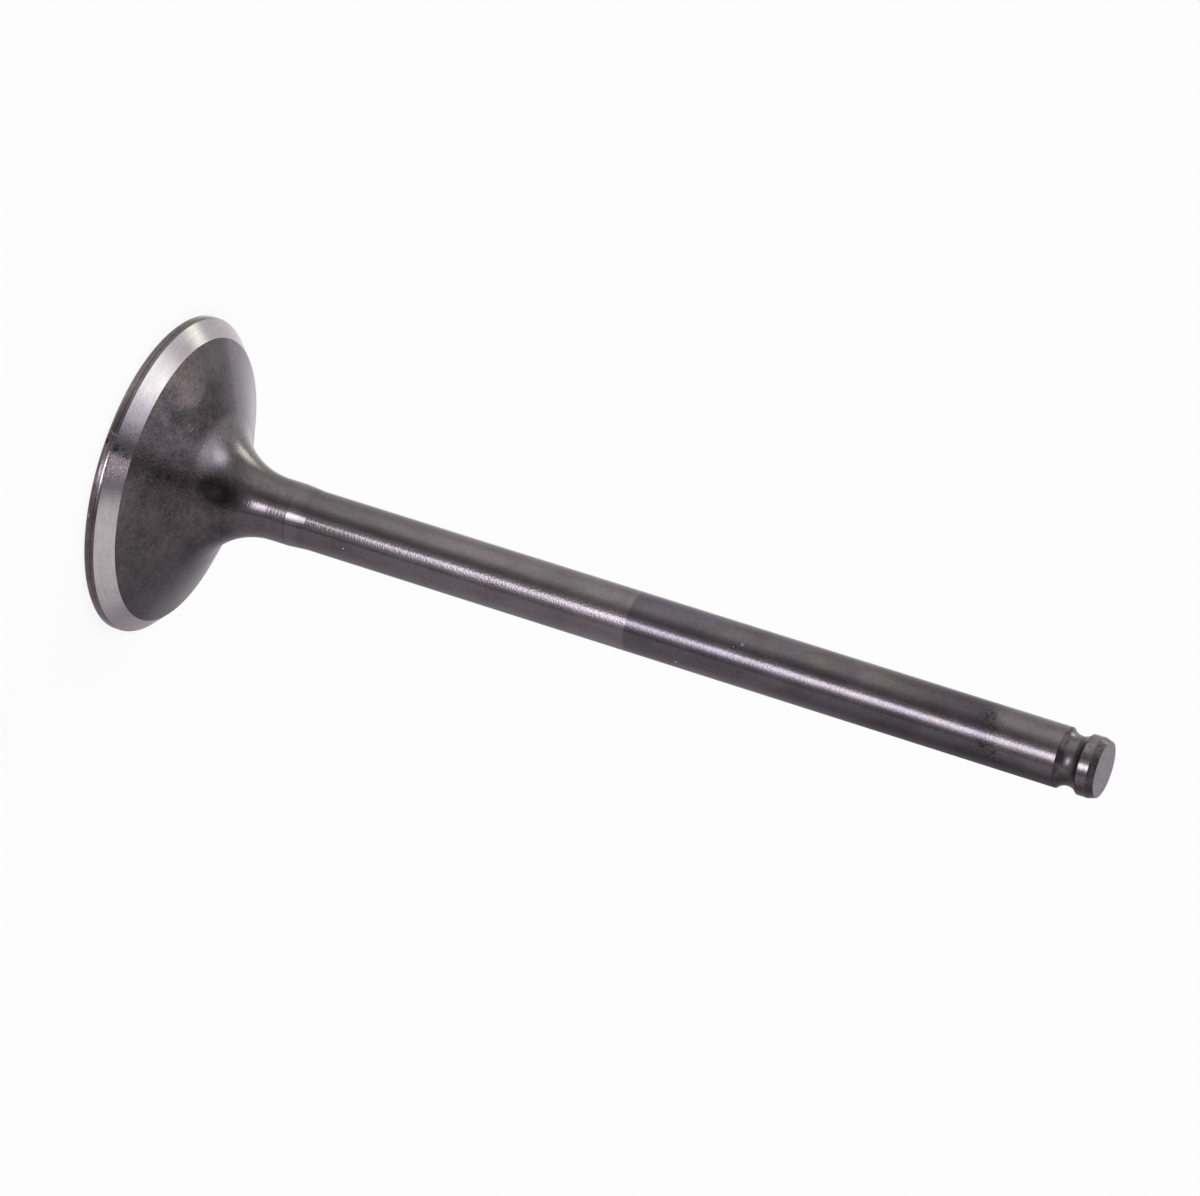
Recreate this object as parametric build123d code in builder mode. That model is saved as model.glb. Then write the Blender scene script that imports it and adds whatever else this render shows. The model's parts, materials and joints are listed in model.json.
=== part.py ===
from build123d import *
import math
import os

# Poppet valve for an engine, turned and ground from one forging.
# The valve stands on its head: the origin is the middle of the combustion face, +Z runs up the stem.

# Driving dimensions, in millimetres and degrees
overall_length = 99.85
head_diameter = 32.0
margin_height = 1.0
seat_angle = 45.0
seat_face_width = 2.26
underhead_angle = 25.5
underhead_radius = 8.1
neck_diameter = 6.3
neck_land_length = 1.9
neck_ramp_length = 2.0
stem_diameter = 5.97
groove_radius = 1.4
groove_depth = 0.53
groove_to_tip = 2.9
tip_face_diameter = 5.5
tip_chamfer_length = 0.74

# Edge breaks
combustion_edge_break = 0.25
margin_edge_break = 0.12
groove_edge_round = 0.15
tip_edge_round = 0.1

# The head's levels, from the combustion face up to the neck
head_r = head_diameter / 2
seat_inner_r = head_r - seat_face_width * math.cos(math.radians(seat_angle))
seat_top = margin_height + seat_face_width * math.sin(math.radians(seat_angle))
neck_r = neck_diameter / 2
underhead_rise = (seat_inner_r - neck_r) * math.tan(math.radians(underhead_angle))
underhead_corner = seat_top + underhead_rise
fillet_turn = math.radians(90 - underhead_angle)
neck_start = underhead_corner + underhead_radius * math.tan(fillet_turn / 2)
neck_end = neck_start + neck_land_length

# The stem's levels, from the neck's ramp up to the tip
stem_r = stem_diameter / 2
stem_start = neck_end + neck_ramp_length
tip_r = tip_face_diameter / 2
tip_chamfer_start = overall_length - tip_chamfer_length
groove_level = overall_length - groove_to_tip
groove_centre_r = stem_r - groove_depth + groove_radius
groove_half_width = math.sqrt(groove_radius**2 - (groove_centre_r - stem_r) ** 2)


def corner(sketch, r, z):
    """The outline's corner at radius r and level z."""
    return sketch.vertices().sort_by_distance((r, z))[0]


# Half section of the valve, turned about its axis
with BuildPart() as valve:
    with BuildSketch(Plane.XZ) as section:
        with BuildLine():
            Polyline(
                (0, 0),
                (head_r, 0),
                (head_r, margin_height),
                (seat_inner_r, seat_top),
                (neck_r, underhead_corner),
                (neck_r, neck_end),
                (stem_r, stem_start),
                (stem_r, tip_chamfer_start),
                (tip_r, overall_length),
                (0, overall_length),
                close=True,
            )
        make_face()

        # Keeper groove, a round-bottomed ring near the tip
        with Locations((groove_centre_r, groove_level)):
            Circle(groove_radius, mode=Mode.SUBTRACT)
        groove_edges = [
            corner(section, stem_r, groove_level - groove_half_width),
            corner(section, stem_r, groove_level + groove_half_width),
        ]
        fillet(groove_edges, groove_edge_round)

        # Sweep of the underhead into the neck, then the small edge breaks
        fillet(corner(section, neck_r, underhead_corner), underhead_radius)
        chamfer(corner(section, head_r, 0), combustion_edge_break)
        chamfer(corner(section, head_r, margin_height), margin_edge_break)
        fillet(corner(section, tip_r, overall_length), tip_edge_round)
    revolve(axis=Axis.Z)

valve.part.label = "valve"

os.makedirs("parts", exist_ok=True)
export_step(valve.part, "parts/valve.step")
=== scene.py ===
import json
import math
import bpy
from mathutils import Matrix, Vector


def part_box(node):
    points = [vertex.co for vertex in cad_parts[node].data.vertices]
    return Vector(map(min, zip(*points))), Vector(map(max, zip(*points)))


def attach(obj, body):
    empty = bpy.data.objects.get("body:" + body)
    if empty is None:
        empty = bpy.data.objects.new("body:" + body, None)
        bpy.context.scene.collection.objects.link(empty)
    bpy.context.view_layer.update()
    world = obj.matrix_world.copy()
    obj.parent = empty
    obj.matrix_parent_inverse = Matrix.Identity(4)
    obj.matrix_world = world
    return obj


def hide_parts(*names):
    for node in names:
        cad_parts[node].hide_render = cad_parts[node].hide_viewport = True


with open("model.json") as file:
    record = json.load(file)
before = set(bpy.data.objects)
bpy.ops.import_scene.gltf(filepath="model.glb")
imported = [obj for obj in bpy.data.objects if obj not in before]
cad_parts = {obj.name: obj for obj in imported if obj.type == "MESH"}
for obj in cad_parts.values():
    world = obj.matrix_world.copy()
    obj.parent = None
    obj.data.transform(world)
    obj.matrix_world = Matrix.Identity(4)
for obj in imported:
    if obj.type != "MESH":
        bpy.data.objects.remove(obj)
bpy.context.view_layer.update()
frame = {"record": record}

from types import SimpleNamespace

import bpy
from mathutils import Quaternion, Vector

# Sizes are in millimetres and angles in degrees; MM turns a size into the scene's metres.
MM = 0.001
DEGREES_IN_RADIAN = math.degrees(1.0)

# The valve's section: what the frame gives, then the sizes that it doesn't name
mounts = {mount["name"]: mount for mount in frame["record"]["mounts"]}
valve_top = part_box("valve")[1]
head_r = valve_top.x / MM
overall_length = valve_top.z / MM
stem_r = mounts["stem"]["dims"]["r_mm"]
groove_level = mounts["keeper_groove"]["pos_m"][2] / MM
margin_height = 1.0
seat_face_width = 2.26
underhead_angle = 25.5
underhead_radius = 8.1
neck_r = 3.15
neck_land_length = 1.9
neck_ramp_length = 2.0
groove_radius = 1.4
groove_depth = 0.53
tip_r = 2.75
tip_chamfer_length = 0.74
combustion_edge_break = 0.25
margin_edge_break = 0.12
groove_edge_round = 0.15
tip_edge_round = 0.1

# Levels worked out from those sizes, from the combustion face up to the stem
seat_inner_r = head_r - seat_face_width * math.sqrt(0.5)
seat_top = margin_height + seat_face_width * math.sqrt(0.5)
underhead_corner = seat_top + (seat_inner_r - neck_r) * math.tan(math.radians(underhead_angle))
fillet_setback = underhead_radius * math.tan(math.radians(90 - underhead_angle) / 2)
neck_end = underhead_corner + fillet_setback + neck_land_length
stem_start = neck_end + neck_ramp_length
chamfer_start = overall_length - tip_chamfer_length

# Where the finish changes along the stem
colour_line = 51.4
stain_level = 88.0

# Fineness of the turned mesh, the least turn of a sharp corner, and the radius below which a point is on
# the axis
SEGMENTS = 288
SWEEP_STEPS = 40
GROOVE_STEPS = 28
EDGE_STEPS = 6
SHARP_TURN = 3.0
ON_AXIS = 1e-6

# The spacing of the turning marks on the combustion face
TURNING_PITCH = 0.3

# The camera, as fitted to the picture of 1200 by 1196 pixels
camera_place = (0, -635.88, 273.38)
camera_target = (-1.13, 0, 47.19)
camera_roll = 107.53
camera_lens = 211.71
camera_sensor = 36.0

FLOOR_SIZE = 12000.0
FLOOR_GLOW = 0.86
FLOOR_PAINT = 0.95
BACKDROP_WHITE = 0.982


class Nodes:
    """Short calls that fill one node tree."""

    def __init__(self, tree):
        self.tree = tree
        tree.nodes.clear()

    def add(self, kind, **settings):
        node = self.tree.nodes.new(kind)
        for name, value in settings.items():
            setattr(node, name, value)
        return node

    def feed(self, socket, value):
        """Links another node's output to the socket, or sets the socket's own value."""
        if isinstance(value, bpy.types.NodeSocket):
            self.tree.links.new(value, socket)
        else:
            socket.default_value = value

    def math(self, operation, a, b=0.0):
        node = self.add("ShaderNodeMath", operation=operation)
        self.feed(node.inputs[0], a)
        self.feed(node.inputs[1], b)
        return node.outputs[0]

    def times(self, a, b):
        return self.math("MULTIPLY", a, b)

    def vector(self, operation, a, b):
        node = self.add("ShaderNodeVectorMath", operation=operation)
        self.feed(node.inputs[0], a)
        self.feed(node.inputs[1], b)
        return node.outputs["Vector"]

    def length(self, vector):
        node = self.add("ShaderNodeVectorMath", operation="LENGTH")
        self.feed(node.inputs[0], vector)
        return node.outputs["Value"]

    def axes(self, vector):
        """The three parts of a vector."""
        node = self.add("ShaderNodeSeparateXYZ")
        self.feed(node.inputs[0], vector)
        return node.outputs

    def azimuth(self, across, away):
        """The angle round Z: 0 is towards the camera, along -Y, and positive is towards +X."""
        turn = self.math("ARCTAN2", across, self.times(away, -1.0))
        return self.times(turn, DEGREES_IN_RADIAN)

    def smooth(self, value, low, high, to_low=0.0, to_high=1.0):
        """Runs smoothly from to_low to to_high as the value goes from low to high."""
        node = self.add("ShaderNodeMapRange", interpolation_type="SMOOTHSTEP")
        for name, number in (("Value", value), ("From Min", low), ("From Max", high),
                             ("To Min", to_low), ("To Max", to_high)):
            self.feed(node.inputs[name], number)
        return node.outputs["Result"]

    def band(self, value, start, full, fade, end):
        """Comes in as the value goes from start to full, and goes out from fade to end."""
        rise = self.smooth(value, start, full)
        fall = self.smooth(value, fade, end, 1.0, 0.0)
        return self.times(rise, fall)

    def window(self, value, low, high, soft):
        """One between low and high and nothing outside, with soft edges."""
        return self.band(value, low - soft, low + soft, high - soft, high + soft)

    def wrap(self, angle, middle):
        """The angle brought to within half a turn of the middle."""
        node = self.add("ShaderNodeMath", operation="WRAP")
        for socket, number in zip(node.inputs, (angle, middle + 180, middle - 180)):
            self.feed(socket, number)
        return node.outputs[0]

    def mix(self, share, a, b):
        """Goes from colour a to colour b as the share goes from nothing to one."""
        node = self.add("ShaderNodeMix", data_type="RGBA")
        share_socket, a_socket, b_socket = node.inputs[0], node.inputs[6], node.inputs[7]
        self.feed(share_socket, share)
        self.feed(a_socket, a)
        self.feed(b_socket, b)
        return node.outputs[2]

    def tone(self, shade, low, high, tint):
        """A tinted grey that goes from low to high with the shade."""
        return self.mix(shade, grey(low, tint), grey(high, tint))

    def coat(self, colour, share, shade, low, high, tint):
        """The colour, covered by a tone where the share is one."""
        return self.mix(share, colour, self.tone(shade, low, high, tint))

    def blend(self, weights):
        """The sum of several values, each times its weight."""
        total = 0.0
        for value, weight in weights:
            total = self.math("ADD", self.times(value, weight), total)
        return total

    def noise(self, place, size, detail=2.0, shift=0.0):
        """Cloudy noise over the whole range from nothing to one; size is its spacing along X, Y and Z."""
        spread = self.add("ShaderNodeVectorMath", operation="MULTIPLY_ADD")
        self.feed(spread.inputs[0], place)
        self.feed(spread.inputs[1], tuple(1 / length for length in size))
        self.feed(spread.inputs[2], (shift, shift, shift))
        node = self.add("ShaderNodeTexNoise")
        self.feed(node.inputs["Vector"], spread.outputs[0])
        self.feed(node.inputs["Scale"], 1.0)
        self.feed(node.inputs["Detail"], detail)
        return self.smooth(node.outputs[0], 0.3, 0.7)

    def even_noise(self, place, size, detail=2.0, shift=0.0):
        return self.noise(place, (size, size, size), detail, shift)

    def ring_noise(self, place, around, along):
        """Marks that run round the valve: around is their length and along their spacing."""
        return self.noise(place, (around, around, along))


# Tints of the greys
BROWN_GREY = (1.085, 0.94, 0.975)
PLAIN_GREY = (1.06, 0.955, 0.985)
OXIDE_GREY = (1.1, 0.92, 0.995)
ROSE_GREY = (1.11, 0.905, 1.02)
RUST_GREY = (1.12, 0.92, 0.97)
LAVENDER_GREY = (1.06, 0.94, 1.06)
OLIVE_GREY = (1.12, 0.96, 0.92)
SLATE_GREY = (1.03, 0.935, 1.09)
HEAT_BLUE = (1.055, 0.935, 1.06)
STAIN_GREY = (1.08, 0.935, 1.04)
GROUND_GREY = (1.02, 0.97, 0.99)
GROUND_ROSE = (1.06, 0.945, 0.985)
GROUND_BLUE = (1.04, 0.95, 1.07)
GROUND_LILAC = (1.07, 0.94, 1.03)
TIP_GREY = (1.04, 0.95, 1.02)
FLECK_YELLOW = (1.08, 1.0, 0.78)


def grey(level, tint=(1.0, 1.0, 1.0)):
    return (level * tint[0], level * tint[1], level * tint[2], 1.0)


# The section's outline

def line(start, end, steps):
    """Points from start to end, evenly spaced, without the start."""
    return [start.lerp(end, k / steps) for k in range(1, steps + 1)]


def arc(centre, radius, first, last, steps):
    """Points on a circle between two angles, in radians, without the first."""
    angles = [first + (last - first) * k / steps for k in range(1, steps + 1)]
    return [centre + radius * Vector((math.cos(a), math.sin(a))) for a in angles]


def rounded(before, corner, after, radius, steps):
    """The arc that rounds a corner between two straight stretches, with its first point."""
    into = (corner - before).normalized()
    out = (after - corner).normalized()
    turn = math.acos(into.dot(out))
    centre = corner + (out - into).normalized() * radius / math.cos(turn / 2)
    start = corner - into * radius * math.tan(turn / 2)
    first = math.atan2(start.y - centre.y, start.x - centre.x)
    side = math.copysign(1.0, into.cross(out))
    return [start] + arc(centre, radius, first, first + side * turn, steps)


def groove_points():
    """The keeper groove with its rounded edges, from the stem up to the land."""
    centre = Vector((stem_r - groove_depth + groove_radius, groove_level))
    reach = groove_radius + groove_edge_round
    edge_r = stem_r - groove_edge_round
    rise = math.sqrt(reach ** 2 - (centre.x - edge_r) ** 2)
    lean = math.atan2(rise, centre.x - edge_r)
    low_edge = Vector((edge_r, groove_level - rise))
    high_edge = Vector((edge_r, groove_level + rise))
    points = [Vector((stem_r, low_edge.y))]
    points += arc(low_edge, groove_edge_round, 0.0, lean, EDGE_STEPS)
    points += arc(centre, groove_radius, math.pi + lean, math.pi - lean, GROOVE_STEPS)
    points += arc(high_edge, groove_edge_round, -lean, 0.0, EDGE_STEPS)
    return points


def section_runs():
    """The half section from the combustion face's middle to the tip's middle, as (finish, points)."""
    middle = Vector((0, 0))
    rim_low = Vector((head_r - combustion_edge_break, 0))
    rim_side = Vector((head_r, combustion_edge_break))
    margin_top = Vector((head_r, margin_height - margin_edge_break))
    seat_start = Vector((head_r, margin_height)) + margin_edge_break * Vector((-1, 1)).normalized()
    seat_end = Vector((seat_inner_r, seat_top))
    neck_corner = Vector((neck_r, underhead_corner))
    neck_line = Vector((neck_r, neck_end))
    sweep = rounded(seat_end, neck_corner, neck_line, underhead_radius, SWEEP_STEPS)
    stem_low = Vector((stem_r, stem_start))
    groove = groove_points()
    chamfer_low = Vector((stem_r, chamfer_start))
    tip_corner = Vector((tip_r, overall_length))
    tip_middle = Vector((0, overall_length))
    tip_edge = rounded(chamfer_low, tip_corner, tip_middle, tip_edge_round, EDGE_STEPS)
    return [
        ("combustion_face", [middle] + line(middle, rim_low, steps=16)),
        ("margin", [rim_low, rim_side] + line(rim_side, margin_top, steps=4) + [seat_start]),
        ("seat", [seat_start] + line(seat_start, seat_end, steps=10)),
        ("underhead", [seat_end] + line(seat_end, sweep[0], steps=14) + sweep[1:]),
        ("underhead", [sweep[-1]] + line(sweep[-1], neck_line, steps=4)),
        ("stem", [neck_line] + line(neck_line, stem_low, steps=3)),
        ("stem", [stem_low] + line(stem_low, groove[0], steps=40)),
        ("groove", groove),
        ("tip", [groove[-1]] + line(groove[-1], chamfer_low, steps=3)),
        ("tip", [chamfer_low] + line(chamfer_low, tip_edge[0], steps=3) + tip_edge[1:]),
        ("tip", [tip_edge[-1]] + line(tip_edge[-1], tip_middle, steps=6)),
    ]


# The turned mesh

def outline_rows(runs):
    """One row for each point of the outline: the point, its way along the outline from nothing to one,
    and if it is a sharp corner."""
    points = [runs[0][1][0]]
    joints = set()
    for _, stretch in runs:
        joints.add(len(points) - 1)
        points += stretch[1:]
    lengths = [0.0]
    for a, b in zip(points, points[1:]):
        lengths.append(lengths[-1] + (b - a).length)
    rows = []
    for k, point in enumerate(points):
        inner = 0 < k < len(points) - 1
        turn = (point - points[k - 1]).angle(points[k + 1] - point) if inner else 0.0
        sharp = math.degrees(turn) > SHARP_TURN and k in joints
        rows.append(SimpleNamespace(point=point, way=lengths[k] / lengths[-1], sharp=sharp))
    return rows


def turned_points(rows):
    """The points of all rows, turned about Z, and for each row its first point and their number."""
    verts, rings = [], []
    for row in rows:
        radius, height = row.point
        count = SEGMENTS if radius > ON_AXIS else 1
        rings.append((len(verts), count))
        for j in range(count):
            angle = math.pi / 2 + 2 * math.pi * j / SEGMENTS
            verts.append((radius * math.cos(angle) * MM, radius * math.sin(angle) * MM, height * MM))
    return verts, rings


def turned_faces(low_ring, high_ring, v0, v1):
    """The faces between two rows, each with its place on the surface map."""
    (low, low_count), (high, high_count) = low_ring, high_ring
    faces, maps = [], []
    for j in range(SEGMENTS):
        nxt = (j + 1) % SEGMENTS
        u0, u1 = j / SEGMENTS, (j + 1) / SEGMENTS
        if low_count == 1:
            faces.append((low, high + nxt, high + j))
            maps.append(((u0 + u1) / 2, v0, u1, v1, u0, v1))
        elif high_count == 1:
            faces.append((low + j, low + nxt, high))
            maps.append((u0, v0, u1, v0, (u0 + u1) / 2, v1))
        else:
            faces.append((low + j, low + nxt, high + nxt, high + j))
            maps.append((u0, v0, u1, v0, u1, v1, u0, v1))
    return faces, maps


def turned_piece(name, runs, materials):
    """Turns the outline about Z. The seam of the surface map runs up the back, along +Y."""
    rows = outline_rows(runs)
    verts, rings = turned_points(rows)
    names = list(materials)
    faces, face_materials, face_maps = [], [], []
    row_finishes = [finish for finish, stretch in runs for _ in stretch[1:]]
    for k, finish in enumerate(row_finishes):
        new_faces, new_maps = turned_faces(rings[k], rings[k + 1], rows[k].way, rows[k + 1].way)
        faces += new_faces
        face_maps += new_maps
        face_materials += [names.index(finish)] * len(new_faces)
    mesh = bpy.data.meshes.new(name)
    mesh.from_pydata(verts, [], faces)
    for finish in names:
        mesh.materials.append(materials[finish])
    mesh.polygons.foreach_set("material_index", face_materials)
    mesh.polygons.foreach_set("use_smooth", [True] * len(faces))
    surface_map = mesh.uv_layers.new(name="OFBake")
    surface_map.data.foreach_set("uv", [number for face in face_maps for number in face])
    row_of = [k for k, (_, count) in enumerate(rings) for _ in range(count)]
    for edge in mesh.edges:
        a, b = (row_of[v] for v in edge.vertices)
        edge.use_edge_sharp = a == b and rows[a].sharp
    mesh.update()
    piece = bpy.data.objects.new(name, mesh)
    bpy.context.scene.collection.objects.link(piece)
    return piece


# Finishes

def surface(name):
    """A new material, its nodes, and where on the valve it is looked at: the place in millimetres, the
    height, the radius and the azimuth."""
    material = bpy.data.materials.new(name)
    material.use_nodes = True
    nodes = Nodes(material.node_tree)
    where = nodes.add("ShaderNodeTexCoord").outputs["Object"]
    place = nodes.vector("MULTIPLY", where, (1 / MM, 1 / MM, 1 / MM))
    across, away, height = nodes.axes(place)
    radius = nodes.length(nodes.vector("MULTIPLY", place, (1, 1, 0)))
    azimuth = nodes.azimuth(across, away)
    return material, nodes, SimpleNamespace(place=place, height=height, radius=radius, azimuth=azimuth)


def steel(nodes, colour, roughness, relief, depth, grain=0.0):
    """Bare steel. Relief is a height from nothing to one, depth is its size, and grain is how much
    the marks of turning or grinding smear a reflection across them."""
    shader = nodes.add("ShaderNodeBsdfPrincipled")
    nodes.feed(shader.inputs["Base Color"], colour)
    nodes.feed(shader.inputs["Metallic"], 1.0)
    nodes.feed(shader.inputs["Roughness"], roughness)
    nodes.feed(shader.inputs["Anisotropic"], grain)
    nodes.feed(shader.inputs["Anisotropic Rotation"], 0.25)
    bump = nodes.add("ShaderNodeBump")
    nodes.feed(bump.inputs["Strength"], 1.0)
    nodes.feed(bump.inputs["Distance"], depth * MM)
    nodes.feed(bump.inputs["Height"], relief)
    nodes.feed(shader.inputs["Normal"], bump.outputs[0])
    output = nodes.add("ShaderNodeOutputMaterial")
    nodes.feed(output.inputs["Surface"], shader.outputs[0])


def direction(azimuth):
    """A level unit vector; azimuth 0 is towards the camera, along -Y, and positive is towards +X."""
    return math.sin(math.radians(azimuth)), -math.cos(math.radians(azimuth))


def spot(nodes, at, azimuth, height, radius, size, core=0.4, ragged=0.0):
    """One on a mark of the surface, at that azimuth, height and radius, and nothing round it. Core is
    the share of its size that is full, and ragged is added to the distance from its middle."""
    x, y = direction(azimuth)
    offset = nodes.vector("SUBTRACT", at.place, (radius * x, radius * y, height))
    distance = nodes.math("ADD", nodes.length(offset), ragged)
    return nodes.smooth(distance, core * size, size, 1.0, 0.0)


def painted_dark_side(nodes, at):
    """How far a painted dark reflection covers the rear end of the valve, along one side."""
    return nodes.times(nodes.window(at.azimuth, 40, 100, 14), 0.85)


def rim_scratches(nodes, at):
    """Two pale scratches across the margin, the longer one on to the seat."""
    aslant = nodes.blend([(at.azimuth, 1.0), (at.height, -0.94)])
    long = nodes.times(nodes.window(aslant, -8.42, -8.2, 0.1), nodes.window(at.height, 0.3, 1.25, 0.1))
    short = nodes.times(nodes.window(aslant, -7.85, -7.7, 0.09), nodes.window(at.height, 0.5, 0.9, 0.1))
    return nodes.math("MAXIMUM", long, short)


def combustion_face_steel():
    """Turned and plain."""
    material, nodes, at = surface("combustion_face")
    marks = nodes.math("SINE", nodes.times(at.radius, 2 * math.pi / TURNING_PITCH))
    patches = nodes.even_noise(at.place, 2.0, detail=3.0)
    colour = nodes.tone(patches, 0.11, 0.17, BROWN_GREY)
    steel(nodes, colour, roughness=0.32, relief=marks, depth=0.002)
    return material


# Nicks in the margin: azimuth, height, size and grey level
MARGIN_NICKS = ((22.4, 0.22, 0.3, 0.3), (-4.4, 0.2, 0.35, 0.03))


def margin_steel():
    """Turned, a little rough, with painted sheen, a fine line under its edge and a painted highlight on part
    of that edge, two scratches and two nicks.
    """
    material, nodes, at = surface("margin")
    marks = nodes.ring_noise(at.place, 2.0, 0.1)
    specks = nodes.even_noise(at.place, 0.25, detail=3.0)
    patches = nodes.even_noise(at.place, 0.9, detail=3.0)
    shade = nodes.blend([(marks, 0.3), (specks, 0.35), (patches, 0.35)])
    colour = nodes.tone(shade, 0.095, 0.19, BROWN_GREY)
    # Painted sheen on one stretch and a painted highlight on a narrower one
    paler = nodes.window(at.azimuth, -28, -9, 4)
    colour = nodes.coat(colour, paler, shade, 0.125, 0.235, BROWN_GREY)
    palest = nodes.window(at.azimuth, 5.5, 10.5, 1.5)
    colour = nodes.coat(colour, palest, shade, 0.14, 0.27, BROWN_GREY)
    fine_line = nodes.window(at.height, 0.7, 0.78, 0.03)
    colour = nodes.mix(fine_line, colour, grey(0.05, BROWN_GREY))
    # Painted highlight along part of the edge, broken into fragments
    edge_highlight = nodes.times(nodes.smooth(at.height, 0.8, 0.86), nodes.window(at.azimuth, -1, 11, 3))
    fragments = nodes.smooth(nodes.even_noise(at.place, 0.5, shift=9.0), 0.35, 0.6)
    colour = nodes.mix(nodes.times(edge_highlight, fragments), colour, grey(0.38, BROWN_GREY))
    colour = nodes.mix(rim_scratches(nodes, at), colour, grey(0.45))
    for azimuth, height, size, level in MARGIN_NICKS:
        colour = nodes.mix(spot(nodes, at, azimuth, height, head_r, size), colour, grey(level))
    steel(nodes, colour, roughness=0.15, relief=shade, depth=0.005, grain=0.3)
    return material


# Soot in the painted dark reflection on the seat: azimuth, height and size
SEAT_SOOT = ((-2.6, 1.35, 1.0), (-3.4, 1.9, 0.7), (-1.6, 2.15, 0.85))


def seat_colour(nodes, at, shade):
    """Nearly neutral at the back, then duller, then neutral with a lilac stretch, then bluish, then rosy."""
    colour = nodes.tone(shade, 0.35, 0.47, GROUND_GREY)
    dull = nodes.band(at.azimuth, -170, -130, -92, -74)
    colour = nodes.coat(colour, dull, shade, 0.28, 0.38, GROUND_ROSE)
    lilac = nodes.window(at.azimuth, -56, -46, 2)
    colour = nodes.coat(colour, lilac, shade, 0.34, 0.46, GROUND_LILAC)
    bluish = nodes.window(at.azimuth, -25, -4, 5)
    colour = nodes.coat(colour, bluish, shade, 0.35, 0.47, GROUND_BLUE)
    rosy = nodes.band(at.azimuth, -3, 4, 110, 165)
    return nodes.coat(colour, rosy, shade, 0.35, 0.47, GROUND_ROSE)


def seat_soot_and_dark_reflection(nodes, at, colour, specks, clouds):
    """The seat's colour with dark ticks, and a painted dark reflection with soot in it that ends in a ragged
    edge.
    """
    # Painted dark reflection over a stretch of the seat, ending in a ragged edge
    ragged = nodes.blend([(at.azimuth, 1.0), (specks, 1.2), (clouds, 0.8)])
    seat_dark_reflection = nodes.times(nodes.band(ragged, -9.0, -3.0, 0.4, 0.9), 0.45)
    colour = nodes.mix(seat_dark_reflection, colour, grey(0.13, GROUND_BLUE))
    uneven = nodes.blend([(specks, 0.55), (clouds, 0.3)])
    for azimuth, height, size in SEAT_SOOT:
        seat_r = head_r + margin_height - height
        soot = spot(nodes, at, azimuth, height, seat_r, size, core=0.5, ragged=uneven)
        colour = nodes.mix(nodes.times(soot, 0.8), colour, grey(0.04))
    ticks = nodes.smooth(nodes.noise(at.place, (0.13, 0.13, 0.3), shift=6.0), 0.62, 0.85)
    ticked = nodes.times(nodes.window(at.azimuth, -14, -5, 2), ticks)
    return nodes.mix(nodes.times(ticked, 0.5), colour, grey(0.12, GROUND_BLUE))


def seat_steel():
    """Ground bright, with a painted dark reflection, and darker with painted glints beyond its edge."""
    material, nodes, at = surface("seat")
    marks = nodes.ring_noise(at.place, 2.5, 0.14)
    specks = nodes.even_noise(at.place, 0.18)
    clouds = nodes.even_noise(at.place, 1.5, detail=3.0)
    shade = nodes.blend([(marks, 0.3), (specks, 0.4), (clouds, 0.3)])
    colour = seat_soot_and_dark_reflection(nodes, at, seat_colour(nodes, at, shade), specks, clouds)
    # Beyond that edge: darker, with painted glints
    glint_stretch = nodes.window(at.azimuth, 0.2, 8.0, 1.5)
    colour = nodes.mix(nodes.times(glint_stretch, 0.45), colour, grey(0.2, GROUND_ROSE))
    painted_glints = nodes.smooth(nodes.even_noise(at.place, 0.11, shift=4.0), 0.56, 0.85)
    bright = nodes.times(glint_stretch, painted_glints)
    colour = nodes.mix(nodes.times(bright, 0.7), colour, grey(0.8, GROUND_ROSE))
    colour = nodes.mix(rim_scratches(nodes, at), colour, grey(0.55))
    steel(nodes, colour, roughness=0.2, relief=shade, depth=0.003, grain=0.6)
    return material


# A painted dark reflection at the foot of the sweep, as overlapping spots: azimuth, radius, size and depth
DARK_REFLECTION_SPOTS = ((-1, 5.65, 1.15, 1.0), (3, 4.85, 1.4, 1.0), (-12, 4.9, 1.2, 0.6))

# The middle of that painted dark reflection
DARK_REFLECTION_AZIMUTH = 1
DARK_REFLECTION_R = 5.4


def sweep_height(radius):
    """The height of the sweep between underhead and neck, at a radius."""
    inward = neck_r + underhead_radius - radius
    return underhead_corner + fillet_setback - math.sqrt(underhead_radius ** 2 - inward ** 2)


def with_painted_dark_reflection(nodes, at, colour):
    """The colour with a painted dark reflection on it, darkest in its middle."""
    dark_spots = 0.0
    for azimuth, radius, size, depth in DARK_REFLECTION_SPOTS:
        part = spot(nodes, at, azimuth, sweep_height(radius), radius, size, core=0.35)
        dark_spots = nodes.math("MAXIMUM", nodes.times(part, depth), dark_spots)
    colour = nodes.mix(dark_spots, colour, grey(0.044, GROUND_GREY))
    darkest_spot = spot(nodes, at, DARK_REFLECTION_AZIMUTH, sweep_height(DARK_REFLECTION_R), DARK_REFLECTION_R, 0.8, core=0.15)
    return nodes.mix(darkest_spot, colour, grey(0.028, GROUND_GREY))


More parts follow.
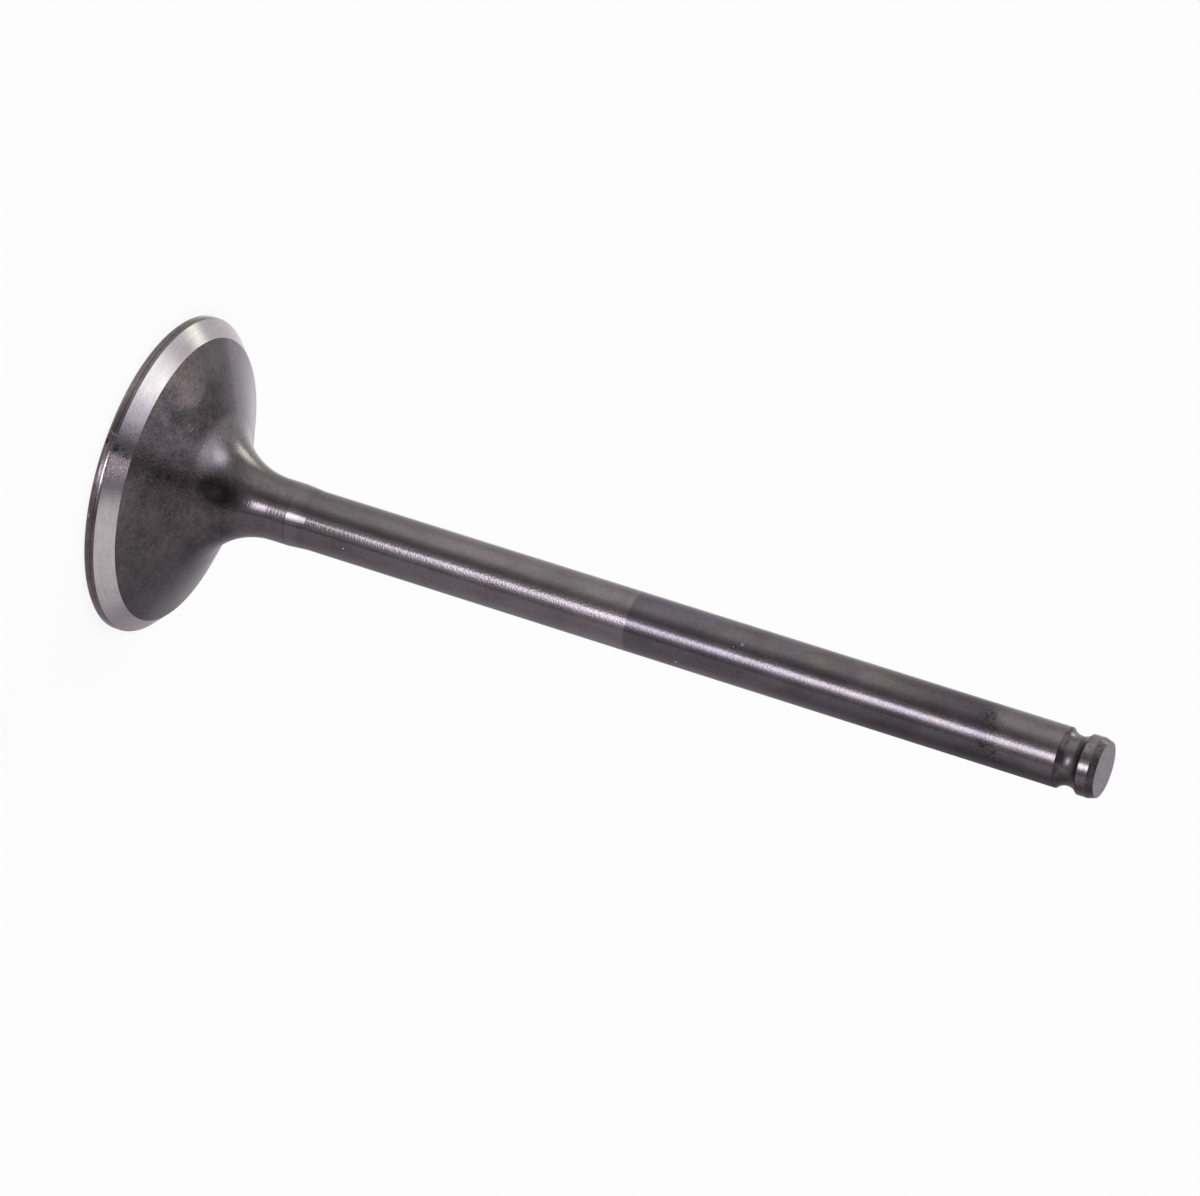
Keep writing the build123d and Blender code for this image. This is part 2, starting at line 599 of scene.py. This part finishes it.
def oxide_colour(nodes, at, shade, uneven):
    """Dark, rosier and paler on the near side, with a rust-grey patch beside the seat and painted shade
    round it.
    """
    colour = nodes.tone(shade, 0.028, 0.092, OXIDE_GREY)
    lower_side = nodes.band(at.azimuth, 50, 105, 130, 165)
    colour = nodes.coat(colour, lower_side, shade, 0.037, 0.122, STAIN_GREY)
    near_side = nodes.times(nodes.window(at.azimuth, -27, -4, 7), nodes.smooth(at.radius, 7.0, 8.5))
    colour = nodes.coat(colour, near_side, shade, 0.036, 0.122, ROSE_GREY)
    beside_seat = nodes.times(nodes.window(at.azimuth, -6, 28, 6), nodes.smooth(at.radius, 11.6, 13.2))
    colour = nodes.coat(colour, beside_seat, shade, 0.042, 0.13, OXIDE_GREY)
    # Painted shade round the patch
    shade_around_patch = nodes.times(nodes.window(at.azimuth, -68, -27, 5),
                               nodes.window(at.radius, 7.8, 12.5, 0.9))
    colour = nodes.coat(colour, shade_around_patch, shade, 0.018, 0.076, OXIDE_GREY)
    patch_top = nodes.times(spot(nodes, at, -66, 3.3, 12.9, 3.6, core=0.6, ragged=uneven), 0.7)
    colour = nodes.coat(colour, patch_top, shade, 0.045, 0.14, BROWN_GREY)
    patch = spot(nodes, at, -46, 3.07, 13.4, 4.6, core=0.93, ragged=uneven)
    return nodes.coat(colour, patch, shade, 0.041, 0.147, RUST_GREY)


def sweep_colour(nodes, at, colour, shade, mottle, specks):
    """The far side is pale lavender as a painted reflection. The upper side of the sweep is paler as painted
    light, with a painted highlight as a lavender cloud and a painted dark reflection at its foot, and the
    neck is clean."""
    # Painted reflection: the far side is made pale lavender
    far_side_reflection = nodes.band(at.azimuth, -150, -115, -88, -83.5)
    colour = nodes.coat(colour, far_side_reflection, shade, 0.08, 0.12, LAVENDER_GREY)
    # Painted light: the upper side of the sweep is made paler
    edge = nodes.blend([(at.radius, 1.0), (mottle, 0.6), (specks, 0.2)])
    upper_side = nodes.times(nodes.band(at.azimuth, -150, -115, -30, 14), nodes.smooth(edge, 8.4, 7.6))
    duller = nodes.tone(shade, 0.055, 0.125, BROWN_GREY)
    paler = nodes.tone(shade, 0.085, 0.15, PLAIN_GREY)
    lit_upper_tone = nodes.mix(nodes.smooth(at.azimuth, -46, -64), duller, paler)
    colour = nodes.mix(upper_side, colour, lit_upper_tone)
    # Painted highlight: a lavender cloud with a brighter core
    cloudy = nodes.blend([(mottle, 0.7), (specks, 0.3)])
    cloud = spot(nodes, at, -30, 6.75, 6.2, 3.2, ragged=cloudy)
    colour = nodes.coat(colour, cloud, shade, 0.07, 0.12, LAVENDER_GREY)
    highlight_core = spot(nodes, at, -33.5, 7.3, 5.55, 1.3, core=0.1)
    colour = nodes.coat(colour, highlight_core, shade, 0.14, 0.21, LAVENDER_GREY)
    colour = with_painted_dark_reflection(nodes, at, colour)
    neck = nodes.smooth(at.radius, 4.4, 3.3)
    return nodes.coat(colour, neck, shade, 0.1, 0.16, BROWN_GREY)


def neck_line_colour(nodes, at, colour):
    """The colour with the fine line that ends the neck, dark on one side and worn pale on the other."""
    neck_line = nodes.smooth(at.height, neck_end - 0.14, neck_end - 0.06)
    dark = nodes.times(neck_line, nodes.band(at.azimuth, -40, -10, 110, 150))
    colour = nodes.mix(nodes.times(dark, 0.45), colour, grey(0.04))
    worn = nodes.times(neck_line, nodes.band(at.azimuth, -160, -115, -60, -40))
    return nodes.mix(nodes.times(worn, 0.6), colour, grey(0.22, PLAIN_GREY))


def underhead_steel():
    """Oxide with a small chipped nick, and a neck that is striped by turning."""
    material, nodes, at = surface("underhead")
    clouds = nodes.even_noise(at.place, 2.6, detail=4.0)
    mottle = nodes.even_noise(at.place, 0.6, detail=3.0, shift=5.0)
    specks = nodes.even_noise(at.place, 0.26, detail=3.0)
    stripes = nodes.ring_noise(at.place, 0.8, 0.13)
    shade = nodes.blend([(clouds, 0.35), (mottle, 0.3), (specks, 0.35)])
    uneven = nodes.blend([(clouds, 0.9), (mottle, 0.7), (specks, 0.3)])
    colour = oxide_colour(nodes, at, shade, uneven)
    colour = sweep_colour(nodes, at, colour, shade, mottle, specks)
    nick = spot(nodes, at, -29.5, 4.8, 9.77, 0.4, ragged=nodes.times(specks, 0.25))
    colour = nodes.mix(nick, colour, grey(0.025))
    chips = nodes.smooth(nodes.even_noise(at.place, 0.15, shift=3.0), 0.5, 0.8)
    chipped = nodes.times(spot(nodes, at, -30.4, 4.88, 9.6, 0.6), chips)
    colour = nodes.mix(chipped, colour, grey(0.13, BROWN_GREY))
    colour = neck_line_colour(nodes, at, colour)
    toward_neck = nodes.smooth(at.radius, 4.2, 3.3)
    oxide_relief = nodes.blend([(specks, 0.7), (mottle, 0.3)])
    relief = nodes.mix(toward_neck, oxide_relief, nodes.times(stripes, 0.6))
    roughness = nodes.blend([(clouds, 0.04), (toward_neck, -0.075), (1.0, 0.18)])
    steel(nodes, colour, roughness, relief, depth=0.009)
    return material


# Small flecks and pits on the stem: azimuth, height, size and colour
STEM_FLECKS = (
    (37.0, 21.42, 0.12, grey(0.6)),
    (-10.7, 62.48, 0.34, grey(0.06)),
    (-10.7, 62.48, 0.15, grey(0.4)),
    (-18.9, 63.22, 0.18, grey(0.4, FLECK_YELLOW)),
    (57.1, 56.97, 0.17, grey(0.42)),
)

# Black blots at the end of the stain: azimuth, height and thickness
STAIN_BLOTS = (
    (-33, 88.4, 0.9),
    (-10, 88.9, 0.35),
    (8, 89.2, 0.35),
    (24, 88.9, 0.8),
    (38, 89.6, 0.8),
    (46, 90.1, 0.6),
)
BLOT_SIZE = 1.1


def past_colour_line(nodes, at):
    return nodes.smooth(at.height, colour_line - 0.1, colour_line + 0.1)


def stem_painted_dark_side(nodes, at):
    """The painted dark reflection thickens along the rear of the stem."""
    return nodes.times(nodes.smooth(at.height, 60, 82), painted_dark_side(nodes, at))


def front_colour(nodes, at, shade, hue):
    """Brown or plain by patches, paler up the stem and palest on one side, with a pale rim at the
    colour line."""
    dull_brown = nodes.tone(shade, 0.1, 0.16, BROWN_GREY)
    duller = nodes.coat(dull_brown, hue, shade, 0.1, 0.16, PLAIN_GREY)
    pale_brown = nodes.tone(shade, 0.125, 0.2, BROWN_GREY)
    paler = nodes.coat(pale_brown, hue, shade, 0.125, 0.195, PLAIN_GREY)
    colour = nodes.mix(nodes.smooth(at.height, stem_start + 2.0, stem_start + 16.0), duller, paler)
    on_ramp = nodes.smooth(at.height, neck_end + 0.4, stem_start, 1.0, 0.0)
    colour = nodes.coat(colour, on_ramp, shade, 0.125, 0.19, BROWN_GREY)
    # Painted shade at the end of the ramp, which cuts short the ramp's highlight
    ramp_end_shade = nodes.times(nodes.window(at.height, stem_start - 0.5, stem_start, 0.3), 0.5)
    colour = nodes.coat(colour, ramp_end_shade, shade, 0.08, 0.125, BROWN_GREY)
    near_line = nodes.times(nodes.smooth(at.height, colour_line - 9.0, colour_line - 3.0),
                            nodes.band(at.azimuth, -30, -10, 100, 150))
    colour = nodes.coat(colour, near_line, shade, 0.147, 0.23, BROWN_GREY)
    rim = nodes.times(nodes.window(at.height, colour_line - 0.65, colour_line, 0.1),
                      nodes.band(at.azimuth, -160, -115, -16, -4))
    return nodes.mix(rim, colour, grey(0.178, BROWN_GREY))


def rear_colour(nodes, at, shade):
    """Olive or slate by patches, and bluish by heat next to the colour line."""
    tempers = nodes.noise(at.place, (1.8, 1.8, 3.0), detail=3.0, shift=8.0)
    olive = nodes.tone(shade, 0.089, 0.16, OLIVE_GREY)
    colour = nodes.coat(olive, tempers, shade, 0.089, 0.16, SLATE_GREY)
    heated = nodes.smooth(at.height, colour_line + 3.0, colour_line + 12.0, 1.0, 0.0)
    return nodes.coat(colour, heated, shade, 0.096, 0.15, HEAT_BLUE)


def stem_colour(nodes, at, clouds, specks, marks):
    """Paler up to the colour line, then darker, then stained before the clean end, with a painted dark
    reflection along one side."""
    hue = nodes.noise(at.place, (4.0, 4.0, 7.0), shift=3.0)
    shade = nodes.blend([(clouds, 0.45), (specks, 0.35), (marks, 0.2)])
    front = front_colour(nodes, at, shade, hue)
    colour = nodes.mix(past_colour_line(nodes, at), front, rear_colour(nodes, at, shade))
    level = nodes.blend([(at.height, 1.0), (clouds, 1.2), (specks, 0.5)])
    upper_side = nodes.blend([(nodes.band(at.azimuth, -165, -115, -24, -6), 0.88), (1.0, 0.12)])
    stained = nodes.times(nodes.smooth(level, stain_level - 12.0, stain_level - 1.0), upper_side)
    colour = nodes.coat(colour, stained, shade, 0.05, 0.095, STAIN_GREY)
    end_brown = nodes.tone(shade, 0.109, 0.187, BROWN_GREY)
    end = nodes.coat(end_brown, hue, shade, 0.104, 0.182, PLAIN_GREY)
    colour = nodes.mix(nodes.smooth(level, stain_level + 0.7, stain_level + 3.5), colour, end)
    # Painted dark reflection along one side of the rear
    return nodes.coat(colour, stem_painted_dark_side(nodes, at), shade, 0.03, 0.06, STAIN_GREY)


def stain_marks(nodes, at):
    """Fine black flakes over the end of the stain, thickest in a few blots."""
    flakes = nodes.smooth(nodes.noise(at.place, (0.2, 0.2, 0.34), detail=3.0, shift=2.0), 0.45, 0.75)
    thickness = nodes.times(nodes.window(at.height, stain_level - 1.0, stain_level + 1.8, 1.2),
                            nodes.band(at.azimuth, -130, -95, 60, 95))
    thickness = nodes.times(thickness, 0.25)
    for azimuth, height, blot_thickness in STAIN_BLOTS:
        blot = nodes.times(spot(nodes, at, azimuth, height, stem_r, BLOT_SIZE), blot_thickness)
        thickness = nodes.math("MAXIMUM", thickness, blot)
    return nodes.times(nodes.blend([(flakes, 0.65), (1.0, 0.2)]), thickness)


def stem_steel():
    """Satin ground steel, hazier up to the colour line, at the end and under the painted dark reflection,
    with the stain's flakes and a few flecks."""
    material, nodes, at = surface("stem")
    clouds = nodes.noise(at.place, (1.6, 1.6, 3.5), detail=4.0)
    specks = nodes.even_noise(at.place, 0.18)
    marks = nodes.ring_noise(at.place, 0.8, 0.16)
    colour = stem_colour(nodes, at, clouds, specks, marks)
    colour = nodes.mix(stain_marks(nodes, at), colour, grey(0.02))
    for azimuth, height, size, fleck_colour in STEM_FLECKS:
        colour = nodes.mix(spot(nodes, at, azimuth, height, stem_r, size), colour, fleck_colour)
    past_line = past_colour_line(nodes, at)
    haze = nodes.smooth(at.height, stem_start + 3.0, colour_line)
    end_haze = nodes.smooth(at.height, stain_level, stain_level + 3.0)
    roughness = nodes.blend([(clouds, 0.04), (haze, 0.105), (past_line, -0.035), (end_haze, 0.06),
                             (stem_painted_dark_side(nodes, at), 0.3), (1.0, 0.05)])
    relief = nodes.blend([(specks, 0.75), (marks, 0.25)])
    rougher = nodes.smooth(at.height, stem_start, colour_line - 8.0, 0.4, 1.0)
    relief = nodes.times(relief, nodes.blend([(rougher, 1.0), (past_line, -0.35)]))
    steel(nodes, colour, roughness, relief, depth=0.0065, grain=0.2)
    return material


def groove_steel():
    """Turned, with painted shade towards both edges, most of all towards the tip, and a painted dark
    reflection along one side.
    """
    material, nodes, at = surface("groove")
    marks = nodes.ring_noise(at.place, 1.5, 0.12)
    patches = nodes.even_noise(at.place, 0.7, detail=3.0)
    shade = nodes.blend([(marks, 0.4), (patches, 0.6)])
    colour = nodes.tone(shade, 0.09, 0.18, BROWN_GREY)
    # Painted shade on both walls of the groove, deeper on the wall towards the tip
    low_wall_shade = nodes.smooth(at.height, groove_level - 0.4, groove_level - 1.0)
    colour = nodes.coat(colour, low_wall_shade, shade, 0.035, 0.085, BROWN_GREY)
    high_wall_shade = nodes.smooth(at.height, groove_level + 0.05, groove_level + 0.7)
    colour = nodes.coat(colour, high_wall_shade, shade, 0.03, 0.065, BROWN_GREY)
    # Painted dark reflection along one side
    colour = nodes.coat(colour, painted_dark_side(nodes, at), shade, 0.02, 0.045, STAIN_GREY)
    steel(nodes, colour, roughness=0.29, relief=shade, depth=0.006, grain=0.2)
    return material


def tip_steel():
    """The land is bright and the chamfer duller, with a painted dark reflection along one side; the end face
    is ground dull, with fine straight marks."""
    material, nodes, at = surface("tip")
    marks = nodes.ring_noise(at.place, 0.8, 0.12)
    specks = nodes.even_noise(at.place, 0.24)
    patches = nodes.even_noise(at.place, 0.7, detail=3.0)
    streaks = nodes.noise(at.place, (0.18, 2.2, 2.2))
    on_face = nodes.smooth(at.height, overall_length - 0.03, overall_length - 0.01)
    on_chamfer = nodes.smooth(at.height, chamfer_start - 0.03, chamfer_start)
    shade = nodes.blend([(patches, 0.6), (specks, 0.4)])
    side = nodes.tone(shade, 0.12, 0.22, BROWN_GREY)
    side = nodes.coat(side, on_chamfer, shade, 0.06, 0.13, BROWN_GREY)
    # Painted dark reflection along one side
    side = nodes.coat(side, painted_dark_side(nodes, at), shade, 0.03, 0.06, STAIN_GREY)
    ground = nodes.blend([(streaks, 0.6), (patches, 0.4)])
    colour = nodes.coat(side, on_face, ground, 0.15, 0.215, TIP_GREY)
    roughness = nodes.blend([(on_chamfer, 0.12), (on_face, 0.08), (1.0, 0.13)])
    steel(nodes, colour, roughness, relief=marks, depth=0.004)
    return material


# Studio

# Angles that leave a panel open all round, or open downwards
ALL_ROUND = (-200, -190, 190, 200)
DOWN = (-100, -95)

# Tints of the studio's light
NEUTRAL = (1.0, 1.0, 1.0)
MAGENTA = (1.025, 0.975, 1.03)
COOL = (1.0, 1.0, 1.11)
WARM = (1.0, 1.0, 0.86)

# The light all round: its level, how much that falls off towards the right, and how far its tint spreads
STUDIO_LEVEL = 0.72
STUDIO_FALL = -0.15
TINT_SPREAD = 0.4

# The studio's panels, in painting order: the azimuths and the elevations between which a panel comes in
# and goes out, then its level and its tint
STUDIO_PANELS = {
    "sky": (ALL_ROUND, (6, 50, 67, 80), 1.0, NEUTRAL),
    "side_wall": ((-105, -78, -63, -33), (*DOWN, 9, 30), 1.1, NEUTRAL),
    "back_right": ((121, 145, 176, 191), (*DOWN, 21, 50), 0.46, MAGENTA),
    "back_left": ((172, 187, 204, 220), (*DOWN, 14, 40), 1.0, MAGENTA),
    "front_card": ((-57, -17, 29, 61), (1, 30, 85, 97), 0.16, MAGENTA),
    "slit": ((-3, -1, 9, 34), (42, 57, 69, 77), 0.8, MAGENTA),
    "right_card": ((34, 43, 44, 51), (-48, -32, 15, 30), 0.35, MAGENTA),
    "left_card": ((-55, -20, -18, -4), (-70, -50, 23, 44), 0.36, MAGENTA),
    "strip_end": ((5, 9, 10, 16), (-32, -27, -21, -19), 3.0, COOL),
    "strip_lamp": ((-3, 10, 11, 32), (-22.3, -18.4, -2.4, 4.6), 7.0, COOL),
    "softbox": ((-151, -115, -93, -53), (33, 55, 64, 84), 2.85, NEUTRAL),
    "warm_lamp": ((-135, -122, -122, -105), (-5, 16, 17, 27), 6.0, WARM),
}


def studio_light(nodes):
    """The colour of the light from each direction: soft all round, with the panels painted over it."""
    across, away, up = nodes.axes(nodes.add("ShaderNodeTexCoord").outputs["Generated"])
    azimuth = nodes.azimuth(across, away)
    elevation = nodes.times(nodes.math("ARCSINE", up), DEGREES_IN_RADIAN)
    rightward = nodes.smooth(across, -TINT_SPREAD, TINT_SPREAD)
    tint = nodes.mix(rightward, grey(1.0), grey(1.0, MAGENTA))
    colour = nodes.vector("MULTIPLY", tint, nodes.blend([(across, STUDIO_FALL), (1.0, STUDIO_LEVEL)]))
    for azimuths, elevations, level, panel_tint in STUDIO_PANELS.values():
        near = nodes.wrap(azimuth, (azimuths[0] + azimuths[-1]) / 2)
        share = nodes.times(nodes.band(near, *azimuths), nodes.band(elevation, *elevations))
        colour = nodes.mix(share, colour, grey(level, panel_tint))
    return colour


def studio_world():
    """Lights the valve with the studio's light. Seen by the camera itself it is plain white."""
    world = bpy.data.worlds.new("studio")
    world.use_nodes = True
    bpy.context.scene.world = world
    nodes = Nodes(world.node_tree)
    lit = nodes.add("ShaderNodeBackground")
    nodes.feed(lit.inputs["Color"], studio_light(nodes))
    white = nodes.add("ShaderNodeBackground")
    nodes.feed(white.inputs["Color"], grey(BACKDROP_WHITE))
    seen = nodes.add("ShaderNodeLightPath").outputs["Is Camera Ray"]
    chosen = nodes.add("ShaderNodeMixShader")
    nodes.feed(chosen.inputs[0], seen)
    nodes.feed(chosen.inputs[1], lit.outputs[0])
    nodes.feed(chosen.inputs[2], white.outputs[0])
    output = nodes.add("ShaderNodeOutputWorld")
    nodes.feed(output.inputs["Surface"], chosen.outputs[0])


def floor_material():
    """White where it is seen, but for the valve's own shadow."""
    material = bpy.data.materials.new("floor")
    material.use_nodes = True
    nodes = Nodes(material.node_tree)
    path = nodes.add("ShaderNodeLightPath")
    seen = nodes.math("MAXIMUM", path.outputs["Is Camera Ray"], path.outputs["Is Glossy Ray"])
    seen = nodes.math("MAXIMUM", seen, path.outputs["Is Transmission Ray"])
    glow = nodes.add("ShaderNodeEmission")
    nodes.feed(glow.inputs["Color"], grey(1.0))
    paint = nodes.add("ShaderNodeBsdfDiffuse")
    nodes.feed(paint.inputs["Color"], grey(FLOOR_PAINT))
    chosen = nodes.add("ShaderNodeMixShader")
    nodes.feed(chosen.inputs[0], nodes.times(seen, FLOOR_GLOW))
    nodes.feed(chosen.inputs[1], paint.outputs[0])
    nodes.feed(chosen.inputs[2], glow.outputs[0])
    output = nodes.add("ShaderNodeOutputMaterial")
    nodes.feed(output.inputs["Surface"], chosen.outputs[0])
    return material


def studio_floor():
    """A wide floor that the valve doesn't mirror and that lets the light from below through."""
    half = FLOOR_SIZE * MM / 2
    corners = [(-half, -half, 0), (half, -half, 0), (half, half, 0), (-half, half, 0)]
    mesh = bpy.data.meshes.new("floor")
    mesh.from_pydata(corners, [], [(0, 1, 2, 3)])
    mesh.materials.append(floor_material())
    floor = bpy.data.objects.new("floor", mesh)
    bpy.context.scene.collection.objects.link(floor)
    floor.visible_glossy = False
    floor.visible_shadow = False


def studio_camera():
    data = bpy.data.cameras.new("camera")
    data.lens = camera_lens
    data.sensor_width = camera_sensor
    data.sensor_fit = "HORIZONTAL"
    camera = bpy.data.objects.new("camera", data)
    bpy.context.scene.collection.objects.link(camera)
    place, target = Vector(camera_place) * MM, Vector(camera_target) * MM
    upright = (target - place).to_track_quat("-Z", "Y")
    camera.rotation_mode = "QUATERNION"
    camera.location = place
    camera.rotation_quaternion = upright @ Quaternion((0, 0, 1), math.radians(camera_roll))
    bpy.context.scene.camera = camera


finishes = {
    "combustion_face": combustion_face_steel(),
    "margin": margin_steel(),
    "seat": seat_steel(),
    "underhead": underhead_steel(),
    "stem": stem_steel(),
    "groove": groove_steel(),
    "tip": tip_steel(),
}
valve = turned_piece("valve_turned", section_runs(), finishes)
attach(valve, "root")
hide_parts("valve")

studio_world()
studio_floor()
studio_camera()
bpy.context.scene.view_settings.view_transform = "Standard"
